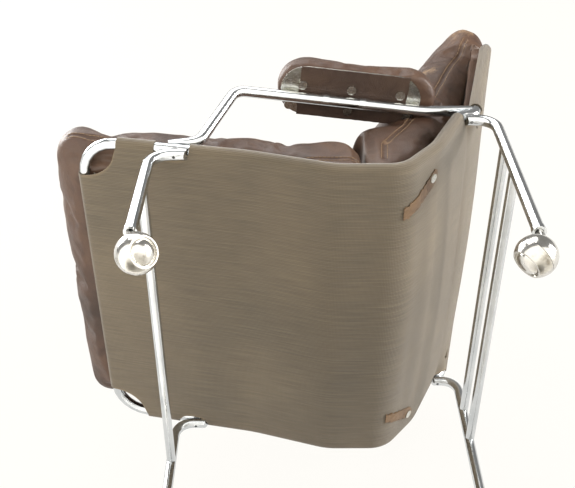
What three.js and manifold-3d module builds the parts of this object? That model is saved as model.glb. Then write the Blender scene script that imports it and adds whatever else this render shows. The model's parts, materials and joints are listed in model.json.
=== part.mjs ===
import * as THREE from "three";
import { mergeVertices } from "three/addons/utils/BufferGeometryUtils.js";
import Module from "manifold-3d";

// Lounge armchair on ball casters. Millimetres, +Z up, the sitter faces -Y, +X is the sitter's left.

const wasm = await Module();
wasm.setup();

// Driving dimensions
const HALF = 288; // half the spacing of rails, legs and arm ends
const TUBE = 9; // radius of the main tube
const ROD = 8; // radius of the cross rods
const GAP = 0.3; // clearance between pieces that touch
const STEP = Math.PI / 12; // most a tube turns between two sections

const FRONT_Y = -320; // front cross tube
const FRONT_CORNER = 56;
const FRONT_SPLIT_Y = -236; // where the front bow plugs into the side rails
const SEAT_SLOPE = -0.2;
const SEAT_BREAK = [-60, 281];
const FRONT_Z = SEAT_BREAK[1] + SEAT_SLOPE * (FRONT_Y - SEAT_BREAK[0]);
const SEAT_LOW = [72, 240.5];
const SEAT_HEEL = [172, 241];
const BACK_FOOT = [228, 308];
const SEAT_IN = [280, 415]; // the rail runs level here, under the rear end of the arm
const SEAT_OUT = [303, 416];
const BACK_TOP = [375, 709];
const TOP_CORNER = 30;
const TOP_SPLIT_Z = 636;
const PLUG = 22; // length of the spigot between two frame tubes
const PLUG_R = 7;

const FRONT_LEG = { y: -208, top: 288.3, end: -146, bend: 32, bolt: -171 };
const REAR_LEG = { y: 333.5, top: 400.5, end: 280, bend: 30, bolt: 295 };
const LEG_FOOT = 84.3;
const LEG_BEVEL = 0.55; // slope of the cut end, the underside is the shorter
const RODS = [["rod_front", -207.5, 194.5], ["rod_rear_upper", 335, 320], ["rod_rear_lower", 334.5, 247]];

const ARM_FRONT = [0, -182, 316];
const ARM_HEEL = [2, -136, 324];
const ARM_SHOULDER = [33, -84, 440];
const ARM_ELBOW = [0, 225, 431.5];
const ARM_END = [0, 304, 431.5];

const BOLT_R = 2.2;
const BOLT_HOLE_R = 2.5;
const BOLT_RECESS = 4;
const SADDLE_R = 8;
const SADDLE_T = 4;

const BALL_R = 28.5;
const AXLE_DIP = THREE.MathUtils.degToRad(34); // the wheel's face looks down by this much
const STEM_SIDE = 14.5; // stem to ball centre, along the axle
const STEM_TRAIL = 7; // stem to ball centre, across the axle
const STEM_R = 5.75;
const STEM_TOP = 122;
const STEM_FIT = 0.35;
const AXLE_R = 3;
const AXLE_FIT = 0.3;
const WHEEL_BACK = 0.7; // wheel's back from the ball's centre
const WHEEL_FACE = 18.5; // wheel's outer ring from the ball's centre
const FRONT_AZIMUTH = 50;
const REAR_AZIMUTH = -115;
const FERRULE_R = 9.9;
const FERRULE_LOW = 81.6;
const FERRULE_TOP = 90;

const CLOTH_T = 1.6;
const SLEEVE_R = TUBE + GAP + 1.6;
const CLOTH_LIFT = -SLEEVE_R; // the panel hangs from the underside of the tubes
const NOTCH = 11; // half width of the hem's notch at a bolted joint

const CUSHION_HALF = 277;
const CUSHION_EDGE = 10;
const CUSHION_LIFT = SLEEVE_R + 1.8;
const SEAT_FRONT = FRONT_Y - 65.7;
const SEAT_REAR = 118;
const SEAT_THICK = 108;

const ARM_MID_Y = 102; // the middle of the arm plate
const PLATE = { half: 115, outer: 50, inner: 35, t: 2, lift: TUBE + 0.3 + 1.8 + 0.3 };
const PAD = { front: 124, rear: 144, outer: 58, inner: 43, t: 44 };
const FLAP = { front: -85, rear: 92, t: 1.8 };
const SNAP_R = 7.65;
const SNAP_OUT = 18.6;
const SNAPS = [[1, -80], [1, 0], [1, 80], [-1, -99], [-1, -1], [-1, 97]];
const CLIPS = [-40, 20];
const CLIP_W = 10;

const TAB = { x: 245, half: 23, along: 48, length: 46, t: 1.8 };

// Helpers: every shape below is a manifold solid until it becomes a mesh.
const at = (x, y, z) => new THREE.Vector3(x, y, z);
const yz = (point, x = HALF) => at(x, point[0], point[1]);

function solid(geometry) {
  const plain = geometry.clone();
  plain.deleteAttribute("normal");
  plain.deleteAttribute("uv");
  const merged = mergeVertices(plain, 1e-4);
  return new wasm.Manifold(new wasm.Mesh({
    numProp: 3,
    vertProperties: merged.attributes.position.array,
    triVerts: new Uint32Array(merged.index.array),
  }));
}

function geometryOf(body) {
  const mesh = body.getMesh();
  return new THREE.BufferGeometry()
    .setAttribute("position", new THREE.BufferAttribute(mesh.vertProperties, 3))
    .setIndex(new THREE.BufferAttribute(mesh.triVerts, 1));
}

const cut = (body, ...tools) => tools.reduce((left, tool) => left.subtract(tool), body);
const join = (...bodies) => bodies.reduce((sum, next) => sum.add(next));

// A polyline whose corners turn on an arc: corners are [point, radius], radius 0 stays sharp.
function bent(corners, closed = false) {
  const count = corners.length;
  return corners.flatMap(([corner, radius], i) => {
    const open = !closed && (i === 0 || i === count - 1);
    if (open || !radius) return [corner.clone()];
    const back = corners[(i + count - 1) % count][0].clone().sub(corner).normalize();
    const next = corners[(i + 1) % count][0].clone().sub(corner).normalize();
    const turn = Math.PI - back.angleTo(next);
    const start = corner.clone().addScaledVector(back, radius * Math.tan(turn / 2));
    const inward = back.clone().add(next).normalize();
    const centre = corner.clone().addScaledVector(inward, radius / Math.cos(turn / 2));
    const axis = next.clone().cross(back).normalize();
    const steps = Math.max(1, Math.ceil(turn / STEP));
    return Array.from({ length: steps + 1 }, (_, k) =>
      start.clone().sub(centre).applyAxisAngle(axis, (turn * k) / steps).add(centre));
  });
}

class Polyline extends THREE.Curve {
  constructor(points) {
    super();
    this.points = points;
  }
  getPoint(t, target = new THREE.Vector3()) {
    const place = t * (this.points.length - 1);
    const i = Math.min(Math.floor(place), this.points.length - 2);
    return target.lerpVectors(this.points[i], this.points[i + 1], place - i);
  }
  getTangent(t, target = new THREE.Vector3()) {
    const last = this.points.length - 1;
    const i = Math.round(t * last);
    const ahead = this.points[Math.min(i + 1, last)].clone().sub(this.points[Math.min(i, last - 1)]);
    const behind = this.points[Math.max(i, 1)].clone().sub(this.points[Math.max(i - 1, 0)]);
    return target.copy(ahead.normalize().add(behind.normalize())).normalize();
  }
  getUtoTmapping(u) {
    return u;
  }
}

function circle(radius, sides) {
  return new THREE.Shape(Array.from({ length: sides }, (_, i) => {
    const angle = (2 * Math.PI * i) / sides;
    return new THREE.Vector2(radius * Math.cos(angle), radius * Math.sin(angle));
  }));
}

function tube(points, radius, sides = 16) {
  return solid(new THREE.ExtrudeGeometry(circle(radius, sides), {
    steps: points.length - 1,
    bevelEnabled: false,
    extrudePath: new Polyline(points),
  }));
}

const pin = (from, to, radius, sides = 20) => tube([from, to], radius, sides);

function box(low, high) {
  const size = high.clone().sub(low);
  const centre = low.clone().add(high).multiplyScalar(0.5);
  return solid(new THREE.BoxGeometry(size.x, size.y, size.z).translate(centre.x, centre.y, centre.z));
}

// A side profile in (y, z) swept across the chair between two values of x.
function across(points, from, to, edge = 0) {
  const shape = new THREE.Shape(points.map((p) => new THREE.Vector2(p.y, p.z)));
  const geometry = new THREE.ExtrudeGeometry(shape, {
    depth: to - from - 2 * edge,
    bevelEnabled: edge > 0,
    bevelThickness: edge,
    bevelSize: edge,
    bevelOffset: -edge,
    bevelSegments: 3,
  });
  const turn = new THREE.Matrix4().makeBasis(at(0, 1, 0), at(0, 0, 1), at(1, 0, 0));
  return solid(geometry.applyMatrix4(turn).translate(from + edge, 0, 0));
}

// The side profile moved off its line towards the sitter.
function lifted(points, by) {
  return points.map((p, i) => {
    const before = p.clone().sub(points[Math.max(i - 1, 0)]).normalize();
    const after = points[Math.min(i + 1, points.length - 1)].clone().sub(p).normalize();
    const along = before.add(after).normalize();
    return at(0, p.y - along.z * by, p.z + along.y * by);
  });
}

// A closed profile of (radius, height) turned about the axis through a point.
function turned(profile, place, axis, segments = 28) {
  const points = [...profile, profile[0]].map(([r, h]) => new THREE.Vector2(r, h));
  const turn = new THREE.Quaternion().setFromUnitVectors(at(0, 1, 0), axis);
  const geometry = new THREE.LatheGeometry(points, segments).applyQuaternion(turn);
  const body = solid(geometry.translate(place.x, place.y, place.z));
  return body.volume() < 0 ? turned([...profile].reverse(), place, axis, segments) : body;
}

// A long plate with round ends lying in the arm's own frame: x outward, y back, z up.
function stadium(front, rear, inner, outer, bottom, thick, edge = 0) {
  const round = (outer + inner) / 2;
  const corners = [[-inner, front], [outer, front], [outer, rear], [-inner, rear]];
  const outline = bent(corners.map(([x, y]) => [at(x, y, 0), round * 0.98]), true);
  return solid(new THREE.ExtrudeGeometry(new THREE.Shape(outline.map((p) => new THREE.Vector2(p.x, p.y))), {
    depth: thick - 2 * edge,
    bevelEnabled: edge > 0,
    bevelThickness: edge,
    bevelSize: edge,
    bevelOffset: -edge,
    bevelSegments: 3,
  }).translate(0, 0, bottom + edge));
}

const steel = (name, color, metalness, roughness) =>
  new THREE.MeshStandardMaterial({ name, color, metalness, roughness });
const CHROME = steel("chrome", 0xcfd2d4, 1, 0.15);
const CASTER = steel("caster_chrome", 0xc9c7bf, 1, 0.2);
const BOLT_STEEL = steel("bolt_steel", 0x8b8d8f, 1, 0.45);
const FIBRE = steel("grey_washer", 0x77797a, 0, 0.7);
const CANVAS = steel("olive_canvas", 0x6b604e, 0, 0.9);
const LEATHER = steel("brown_leather", 0x5a4636, 0, 0.6);
const PRESSED = steel("pressed_steel", 0xa9abab, 1, 0.4);

const chair = new THREE.Group();
chair.name = "lounge_armchair";

function add(name, body, material) {
  const mesh = new THREE.Mesh(geometryOf(body), material);
  mesh.name = name;
  chair.add(mesh);
  return mesh;
}

// The left piece, and the right one as its mirror image.
function addPair(name, body, material) {
  add(name + "_left", body, material);
  add(name + "_right", body, material).scale.x = -1;
}

const mirrored = (body) => body.mirror([1, 0, 0]);

// Frame: a front bow, two side rails and a top bow that plug together.
const seatZ = (y) => FRONT_Z + SEAT_SLOPE * (y - FRONT_Y);
const topY = (z) => SEAT_OUT[0] + ((z - SEAT_OUT[1]) * (BACK_TOP[0] - SEAT_OUT[0])) / (BACK_TOP[1] - SEAT_OUT[1]);
const frontSplit = at(HALF, FRONT_SPLIT_Y, seatZ(FRONT_SPLIT_Y));
const topSplit = at(HALF, topY(TOP_SPLIT_Z), TOP_SPLIT_Z);
const frontCorner = at(HALF, FRONT_Y, FRONT_Z);
const topCorner = yz(BACK_TOP);
const flip = (p) => at(-p.x, p.y, p.z);

const seatDirection = at(0, 1, SEAT_SLOPE).normalize();
const backDirection = topCorner.clone().sub(yz(SEAT_OUT)).normalize();
const frontPath = bent([
  [frontSplit, 0],
  [frontCorner, FRONT_CORNER],
  [flip(frontCorner), FRONT_CORNER],
  [flip(frontSplit), 0],
]);
const topPath = bent([[topSplit, 0], [topCorner, TOP_CORNER], [flip(topCorner), TOP_CORNER], [flip(topSplit), 0]]);
const railPath = bent([
  [frontSplit, 0],
  [yz(SEAT_BREAK), 200],
  [yz(SEAT_LOW), 100],
  [yz(SEAT_HEEL), 50],
  [yz(BACK_FOOT), 120],
  [yz(SEAT_IN), 15],
  [yz(SEAT_OUT), 15],
  [topSplit, 0],
]);

const away = (point, direction, by) => point.clone().addScaledVector(direction, by);
const spigot = (end, direction) =>
  pin(away(end, direction, -1), away(end, direction, PLUG), PLUG_R, 16);
const socket = (end, direction) =>
  pin(away(end, direction, -2), away(end, direction, PLUG + 1), PLUG_R + GAP, 16);
const upward = backDirection.clone().negate();
const trimFront = away(frontSplit, seatDirection, GAP);
const trimTop = away(topSplit, upward, GAP);
const rail = tube([trimFront, ...railPath.slice(1, -1), trimTop], TUBE);
const railClear = tube([away(frontSplit, seatDirection, -20), ...railPath, away(topSplit, backDirection, 20)], TUBE + GAP);

// Legs: a level end under the rail, then a bend down to the caster.
const legPath = ({ y, top, end, bend }) => bent([
  [at(HALF, end, top), 0],
  [at(HALF, y, top), bend],
  [at(HALF, y, LEG_FOOT), 0],
]);
const legShape = (leg, radius) => tube(legPath(leg), radius);

// The oblique cut across a leg's free end.
function bevel({ y, top, end }) {
  const side = Math.sign(end - y);
  const profile = [
    at(0, end, top + TUBE + 1),
    at(0, end - side * (2 * TUBE + 2) * LEG_BEVEL, top - TUBE - 1),
    at(0, end + side * 30, top - TUBE - 1),
    at(0, end + side * 30, top + TUBE + 1),
  ];
  return across(side > 0 ? profile : profile.reverse(), HALF - 20, HALF + 20);
}

// Arms: level at the front bolt, up and outward to the shoulder, then back and inward.
const armAt = ([out, y, z]) => at(HALF + out, y, z);
const armPath = bent([
  [armAt(ARM_FRONT), 0],
  [armAt(ARM_HEEL), 26],
  [armAt(ARM_SHOULDER), 24],
  [armAt(ARM_ELBOW), 120],
  [armAt(ARM_END), 0],
]);
const armBottom = (y) => (y < 0 ? ARM_FRONT[2] + 2 : ARM_END[2]);

function jointAt({ bolt, top, y }) {
  const low = top - TUBE + BOLT_RECESS;
  const high = armBottom(y) + TUBE / 3;
  const railZ = y < 0 ? seatZ(bolt) : SEAT_OUT[1];
  const washerTop = railZ - TUBE + SADDLE_T - 1.2;
  return {
    bolt: pin(at(HALF, bolt, low), at(HALF, bolt, high), BOLT_R, 12),
    hole: pin(at(HALF, bolt, top - TUBE - 5), at(HALF, bolt, high + GAP), BOLT_HOLE_R, 12),
    washer: pin(at(HALF, bolt, washerTop - SADDLE_T), at(HALF, bolt, washerTop), SADDLE_R, 24),
    pocket: pin(at(HALF, bolt, washerTop - SADDLE_T - GAP), at(HALF, bolt, washerTop + 20), SADDLE_R + GAP, 24),
    notch: box(
      at(HALF - NOTCH, bolt - 19, railZ - 30),
      at(HALF + NOTCH, bolt + 15, railZ + 22),
    ),
  };
}
const frontJoint = jointAt(FRONT_LEG);
const rearJoint = jointAt(REAR_LEG);

const stemBore = (y) => pin(at(HALF, y, LEG_FOOT - 5), at(HALF, y, STEM_TOP + 2), STEM_R + STEM_FIT, 20);

const holes = [frontJoint.hole, rearJoint.hole];
addPair("side_rail", cut(
  rail, ...holes, socket(trimFront, seatDirection), socket(trimTop, upward),
), CHROME);
const frontBow = join(
  tube(frontPath, TUBE), spigot(frontSplit, seatDirection), mirrored(spigot(frontSplit, seatDirection)),
);
const topBow = join(tube(topPath, TUBE), spigot(topSplit, upward), mirrored(spigot(topSplit, upward)));
add("front_bow", frontBow, CHROME);
add("top_bow", topBow, CHROME);

[["front", FRONT_LEG, frontJoint], ["rear", REAR_LEG, rearJoint]].forEach(([place, leg, joint]) => {
  const tools = [railClear, joint.pocket, joint.hole, bevel(leg), stemBore(leg.y)];
  addPair("leg_" + place, cut(legShape(leg, TUBE), ...tools), CHROME);
  addPair("bolt_" + place, joint.bolt, BOLT_STEEL);
  addPair("washer_" + place, cut(joint.washer, railClear, joint.hole), FIBRE);
  const ring = [
    [STEM_R + STEM_FIT, FERRULE_LOW],
    [FERRULE_R, FERRULE_LOW],
    [FERRULE_R, FERRULE_TOP],
    [TUBE + GAP, FERRULE_TOP],
    [TUBE + GAP, LEG_FOOT - GAP],
    [STEM_R + STEM_FIT, LEG_FOOT - GAP],
  ];
  addPair("ferrule_" + place, turned(ring, at(HALF, leg.y, 0), at(0, 0, 1), 24), CHROME);
});

const frontLegClear = legShape(FRONT_LEG, TUBE + GAP);
const rearLegClear = legShape(REAR_LEG, TUBE + GAP);
RODS.forEach(([name, y, z]) => {
  const bar = pin(at(-HALF, y, z), at(HALF, y, z), ROD, 16);
  const leg = y < 0 ? frontLegClear : rearLegClear;
  add(name, cut(bar, leg, mirrored(leg)), CHROME);
});

const armTube = tube(armPath, TUBE);
addPair("arm_tube", cut(armTube, railClear, ...holes), CHROME);

// Ball casters: the hood carries the stem and the axle, the wheel is the lower half of the ball.
function caster(place, legY, azimuthDegrees) {
  const azimuth = THREE.MathUtils.degToRad(azimuthDegrees);
  const level = at(Math.cos(azimuth), Math.sin(azimuth), 0);
  const trail = at(-level.y, level.x, 0);
  const stemFoot = at(HALF, legY, BALL_R);
  const centre = stemFoot.clone().addScaledVector(level, STEM_SIDE).addScaledVector(trail, STEM_TRAIL);
  const axle = level.clone().multiplyScalar(Math.cos(AXLE_DIP)).add(at(0, 0, -Math.sin(AXLE_DIP)));
  const arc = (from, to, steps, radius) => Array.from({ length: steps + 1 }, (_, i) => {
    const angle = from + ((to - from) * i) / steps;
    return [Math.max(0, radius * Math.cos(angle)), radius * Math.sin(angle)];
  });
  const shell = BALL_R - 0.2;
  const dome = [[0, 0], ...arc(0, -Math.PI / 2, 7, shell)];
  const boreR = AXLE_R + AXLE_FIT;
  const wheel = [
    [boreR, WHEEL_BACK],
    ...arc(Math.asin(WHEEL_BACK / BALL_R), Math.asin(WHEEL_FACE / BALL_R), 7, BALL_R),
    [19.6, WHEEL_FACE],
    [19, WHEEL_FACE - 3],
    [17.6, WHEEL_FACE - 3],
    [16.6, WHEEL_FACE - 0.5],
    [13, WHEEL_FACE + 2.4],
    [7, WHEEL_FACE + 4.4],
    [0, WHEEL_FACE + 5],
    [0, WHEEL_FACE + 1],
    [boreR, WHEEL_FACE + 1],
  ];
  const stem = pin(at(HALF, legY, BALL_R + 8), at(HALF, legY, STEM_TOP), STEM_R, 20);
  const neck = pin(at(HALF, legY, BALL_R + 14), at(HALF, legY, BALL_R + 29), STEM_R + 2, 20);
  const wheelRoom = turned([[0, 0], [BALL_R + 3, 0], [BALL_R + 3, 40], [0, 40]], centre, axle, 28);
  const post = pin(away(centre, axle, -4), away(centre, axle, WHEEL_FACE), AXLE_R, 16);
  const hood = join(cut(join(turned(dome, centre, axle), stem, neck), wheelRoom), post);
  addPair("caster_hood_" + place, hood, CASTER);
  addPair("caster_wheel_" + place, turned(wheel, centre, axle, 24), CASTER);
}
caster("front", FRONT_LEG.y, FRONT_AZIMUTH);
caster("rear", REAR_LEG.y, REAR_AZIMUTH);

// Canvas sling: one panel with sleeves round the frame, open at the front corners and the joints.
const sideLine = bent([
  [yz([FRONT_Y, FRONT_Z], 0), 0],
  [yz(SEAT_BREAK, 0), 200],
  [yz(SEAT_LOW, 0), 100],
  [yz(SEAT_HEEL, 0), 50],
  [yz(BACK_FOOT, 0), 120],
  [yz(SEAT_IN, 0), 15],
  [yz(SEAT_OUT, 0), 15],
  [yz(BACK_TOP, 0), 0],
]);
const panelLow = lifted(sideLine, CLOTH_LIFT);
const panelHigh = lifted(sideLine, CLOTH_LIFT + CLOTH_T);
const panel = across([...panelLow, ...panelHigh.reverse()], -HALF, HALF);
const sleevePath = [frontCorner, ...railPath, topCorner];
const sleeve = tube(sleevePath, SLEEVE_R, 12);
const channel = (points) => tube(points, TUBE + 2 * GAP, 12);
const sideChannel = channel(sleevePath);
const clearances = join(sideChannel, mirrored(sideChannel), channel(frontPath), channel(topPath));
const cornerCut = pin(
  at(HALF, FRONT_Y, FRONT_Z - 60), at(HALF, FRONT_Y, FRONT_Z + 60), FRONT_CORNER, 32,
);
const slingRaw = join(
  panel, sleeve, mirrored(sleeve), tube(topPath, SLEEVE_R, 12),
  pin(flip(frontCorner), frontCorner, SLEEVE_R, 12),
);
const armClear = tube(armPath, TUBE + GAP);
const openings = [
  cornerCut, frontJoint.notch, rearJoint.notch, frontLegClear, rearLegClear, armClear,
];
const sling = cut(
  slingRaw, clearances, ...openings, ...openings.map(mirrored),
);
add("canvas_sling", sling, CANVAS);

// Cushions lie on the sling, the back one between the arm pads.
const above = (y, extra) => seatZ(y) + (CUSHION_LIFT + extra) * Math.hypot(1, SEAT_SLOPE);
const seatCushion = bent([
  [yz([SEAT_FRONT, above(SEAT_FRONT, 0)], 0), 30],
  [yz([SEAT_BREAK[0], above(SEAT_BREAK[0], 0.4)], 0), 0],
  [yz([SEAT_LOW[0] - 2, SEAT_LOW[1] + CUSHION_LIFT + 1.6], 0), 0],
  [yz([SEAT_REAR, SEAT_LOW[1] + CUSHION_LIFT + 1.6], 0), 20],
  [yz([SEAT_REAR, SEAT_LOW[1] + CUSHION_LIFT + SEAT_THICK], 0), 34],
  [yz([SEAT_FRONT, above(SEAT_FRONT, SEAT_THICK)], 0), 44],
], true);
const BACK_PROFILE = [
  [121, 256, 17], [121, 404, 30], [156, 428, 22], [232, 628, 80], [320, 806, 40], [350, 842, 24],
  [384, 806, 30], [377, 738, 18], [360, 720, 18], [253, 396, 60], [211, 311, 60], [161, 256, 49],
];
const backCushion = bent(BACK_PROFILE.map(([y, z, r]) => [yz([y, z], 0), r]), true);
const wide = [-CUSHION_HALF, CUSHION_HALF, CUSHION_EDGE];
add("seat_cushion", across(seatCushion, ...wide), LEATHER);

// Arm furniture, built in the arm tube's own frame.
const run = armAt(ARM_ELBOW).sub(armAt(ARM_SHOULDER));
const armMid = armAt(ARM_SHOULDER).addScaledVector(run, (ARM_MID_Y - ARM_SHOULDER[1]) / run.y);
const backward = run.normalize();
const outward = at(1, 0, 0).addScaledVector(backward, -backward.x).normalize();
const armFrame = new THREE.Matrix4().makeBasis(outward, backward, outward.clone().cross(backward));
armFrame.setPosition(armMid);
const inArm = (body) => solid(geometryOf(body).applyMatrix4(armFrame));

const snapTop = PLATE.lift + 1;
const flapLow = TUBE + GAP;
const snap = (side, y) => join(
  pin(at(side * SNAP_OUT, y, flapLow - 3.3), at(side * SNAP_OUT, y, flapLow - 0.3), SNAP_R, 14),
  pin(at(side * SNAP_OUT, y, flapLow - 1), at(side * SNAP_OUT, y, snapTop), 2.2, 8),
);
const postHole = (side, y) => pin(at(side * SNAP_OUT, y, 0), at(side * SNAP_OUT, y, 20), 2.6, 8);
const plate = stadium(-PLATE.half, PLATE.half, PLATE.inner, PLATE.outer, PLATE.lift, PLATE.t);
addPair("arm_plate", inArm(join(plate, ...SNAPS.map(([side, y]) => snap(side, y)))), PRESSED);
const flap = box(at(-PLATE.inner, FLAP.front, flapLow), at(PLATE.outer, FLAP.rear, flapLow + FLAP.t));
addPair("arm_flap", inArm(cut(flap, ...SNAPS.map(([side, y]) => postHole(side, y)))), LEATHER);
const padBottom = PLATE.lift + PLATE.t + GAP;
const pad = (grow) => stadium(
  -PAD.front - grow, PAD.rear + grow, PAD.inner + grow, PAD.outer + grow,
  padBottom - grow, PAD.t + 2 * grow, grow ? 0 : 14,
);
addPair("arm_pad", inArm(pad(0)), LEATHER);
const padRoom = inArm(join(pad(1.2), stadium(-120, 120, 40, 55, -12, padBottom + 14)));
add("back_cushion", cut(across(backCushion, ...wide), padRoom, mirrored(padRoom)), LEATHER);

// Clips hold the plate to the outer side of the tube.
function clip(y) {
  const ring = turned(
    [[TUBE + GAP, -CLIP_W / 2], [TUBE + GAP + 1.2, -CLIP_W / 2], [TUBE + GAP + 1.2, CLIP_W / 2], [TUBE + GAP, CLIP_W / 2]],
    at(0, y, 0), at(0, 1, 0), 32,
  );
  return cut(ring, box(at(-20, y - 20, -20), at(-2, y + 20, 20)), box(at(-20, y - 20, TUBE - 0.4), at(20, y + 20, 20)));
}
CLIPS.forEach((y, i) => addPair("arm_clip_" + (i + 1), inArm(clip(y)), CHROME));

// Strap tabs snapped to the underside of the sling, one at each side of the heel bend.
const slope = at(0, BACK_FOOT[0] - SEAT_HEEL[0], BACK_FOOT[1] - SEAT_HEEL[1]).normalize();
const tabFrame = new THREE.Matrix4().makeBasis(at(1, 0, 0), slope, at(1, 0, 0).cross(slope));
tabFrame.setPosition(yz(SEAT_HEEL, TAB.x).addScaledVector(slope, TAB.along));
const onTab = (body) => solid(geometryOf(body).applyMatrix4(tabFrame));
const tabHigh = CLOTH_LIFT - GAP;
const tabLow = tabHigh - TAB.t;
const tabHole = pin(at(8, 12, tabLow - 5), at(8, 12, tabHigh + 5), 2.5, 10);
const tab = box(at(-TAB.half, -TAB.length / 2, tabLow), at(TAB.half, TAB.length / 2, tabHigh));
addPair("strap_tab", onTab(cut(tab, tabHole)), LEATHER);
const stud = join(
  pin(at(8, 12, tabLow - GAP - 3), at(8, 12, tabLow - GAP), SNAP_R, 20),
  pin(at(8, 12, tabLow - 1), at(8, 12, tabHigh - 0.2), 2.2, 10),
);
addPair("strap_snap", onTab(stud), PRESSED);

export default chair;
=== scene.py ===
"""Lounge armchair on ball casters: chrome tube, canvas sling, leather cushions."""
import json
import math

import bmesh
import bpy
from mathutils import Matrix, Vector, noise
from mathutils.bvhtree import BVHTree


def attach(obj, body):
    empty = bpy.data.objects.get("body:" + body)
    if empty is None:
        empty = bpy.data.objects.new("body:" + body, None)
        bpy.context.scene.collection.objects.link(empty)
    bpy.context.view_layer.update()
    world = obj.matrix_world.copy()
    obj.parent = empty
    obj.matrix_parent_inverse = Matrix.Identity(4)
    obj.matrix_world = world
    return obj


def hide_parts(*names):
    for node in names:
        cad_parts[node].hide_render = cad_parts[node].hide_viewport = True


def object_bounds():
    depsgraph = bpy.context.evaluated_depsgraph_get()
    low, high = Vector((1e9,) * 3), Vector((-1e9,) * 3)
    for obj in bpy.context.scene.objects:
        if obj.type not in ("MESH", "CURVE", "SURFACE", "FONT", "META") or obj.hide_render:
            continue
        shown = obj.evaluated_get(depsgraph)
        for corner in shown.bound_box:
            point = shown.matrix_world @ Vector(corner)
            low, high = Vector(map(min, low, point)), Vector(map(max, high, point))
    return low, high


bl_info = {
    "name": "Lounge Armchair",
    "version": (1, 0, 0),
    "blender": (4, 5, 0),
    "location": "View3D > Sidebar > Armchair",
    "description": "Builds a chrome tube lounge armchair with a canvas sling and leather cushions",
    "category": "Add Mesh",
}

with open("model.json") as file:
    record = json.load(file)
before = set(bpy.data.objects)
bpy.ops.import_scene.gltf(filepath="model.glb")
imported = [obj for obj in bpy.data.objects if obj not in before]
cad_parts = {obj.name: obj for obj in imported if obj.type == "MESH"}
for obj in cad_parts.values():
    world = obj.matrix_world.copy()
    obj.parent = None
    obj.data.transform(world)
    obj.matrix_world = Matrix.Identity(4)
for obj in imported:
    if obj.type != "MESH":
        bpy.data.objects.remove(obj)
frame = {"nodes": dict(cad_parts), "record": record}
CAD_BOX = [list(corner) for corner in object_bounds()]
BODIES = frame["record"]["behaviour"]["bodies"]
CHAIR = "chair"

# Side line of the frame in (y, z, bend radius), millimetres, front tube to top bow.
SIDE_LINE = (
    (-320, 333, 0), (-60, 281, 200), (72, 240.5, 100), (172, 241, 50),
    (228, 308, 120), (280, 415, 15), (303, 416, 15), (375, 709, 0),
)
HALF = 288.0
CORNER = 56.0
TOP_REACH = 257.0
WRAP = 10.4
FRONT_BOLT = Vector((-174, 303))
REAR_BOLT = Vector((293, 416))
ROW = 4.0


# ---------------------------------------------------------------- small geometry

def bent(corners, closed=False, step=math.radians(6)):
    """A (y, z) polyline whose corners turn on an arc of their radius."""
    out = []
    count = len(corners)
    for i, (y, z, radius) in enumerate(corners):
        here = Vector((y, z))
        if not radius or (not closed and i in (0, count - 1)):
            out.append(here)
            continue
        back = (Vector(corners[i - 1][:2]) - here).normalized()
        ahead = (Vector(corners[(i + 1) % count][:2]) - here).normalized()
        turn = math.pi - back.angle(ahead)
        start = here + back * radius * math.tan(turn / 2)
        centre = here + (back + ahead).normalized() * radius / math.cos(turn / 2)
        sign = 1 if (-back).x * ahead.y - (-back).y * ahead.x > 0 else -1
        steps = max(1, math.ceil(turn / step))
        for k in range(steps + 1):
            angle = sign * turn * k / steps
            arm = start - centre
            out.append(centre + Vector((
                arm.x * math.cos(angle) - arm.y * math.sin(angle),
                arm.x * math.sin(angle) + arm.y * math.cos(angle),
            )))
    return out


def even(points, pitch, closed=False):
    """The same line with points at an even pitch."""
    line = list(points) + ([points[0]] if closed else [])
    lengths = [0.0]
    for a, b in zip(line, line[1:]):
        lengths.append(lengths[-1] + (b - a).length)
    count = max(2, round(lengths[-1] / pitch))
    out = []
    k = 0
    for i in range(count if closed else count + 1):
        want = lengths[-1] * i / count
        while k < len(lengths) - 2 and lengths[k + 1] < want:
            k += 1
        span = lengths[k + 1] - lengths[k] or 1.0
        out.append(line[k].lerp(line[k + 1], (want - lengths[k]) / span))
    return out


def mesh_object(name, verts, faces, material, uv=None):
    """A new object from millimetre points, with an optional (u, v) per point."""
    mesh = bpy.data.meshes.new(name)
    mesh.from_pydata([(x / 1000, y / 1000, z / 1000) for x, y, z in verts], [], faces)
    if uv:
        layer = mesh.uv_layers.new(name="UVMap")
        for loop in mesh.loops:
            layer.data[loop.index].uv = uv[loop.vertex_index]
    mesh.update()
    made = bpy.data.objects.new(name, mesh)
    bpy.context.scene.collection.objects.link(made)
    if material:
        mesh.materials.append(material)
    return made


def smooth(piece, angle=32.0):
    """Smooth shading with an edge kept wherever two faces meet at more than the angle."""
    mesh = piece.data
    mesh.polygons.foreach_set("use_smooth", [True] * len(mesh.polygons))
    mesh.set_sharp_from_angle(angle=math.radians(angle))


def bake_modifiers(piece):
    """The piece's modifiers turned into its mesh."""
    graph = bpy.context.evaluated_depsgraph_get()
    baked = bpy.data.meshes.new_from_object(piece.evaluated_get(graph), depsgraph=graph)
    piece.modifiers.clear()
    old = piece.data
    piece.data = baked
    bpy.data.meshes.remove(old)


def outward(piece):
    """Faces turned to point out of the closed shape."""
    work = bmesh.new()
    work.from_mesh(piece.data)
    bmesh.ops.remove_doubles(work, verts=work.verts, dist=1e-6)
    bmesh.ops.recalc_face_normals(work, faces=work.faces)
    work.to_mesh(piece.data)
    work.free()


def settle(piece, body, slot, *nodes):
    """The piece rides on its body and stands for the CAD nodes; the slot is not used."""
    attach(piece, body)
    if nodes:
        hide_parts(*nodes)


# ---------------------------------------------------------------- materials

def linear(hex_colour):
    """An sRGB hex colour as linear RGBA."""
    parts = [int(hex_colour[i:i + 2], 16) / 255 for i in (1, 3, 5)]
    return tuple(c / 12.92 if c <= 0.04045 else ((c + 0.055) / 1.055) ** 2.4 for c in parts) + (1.0,)


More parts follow.
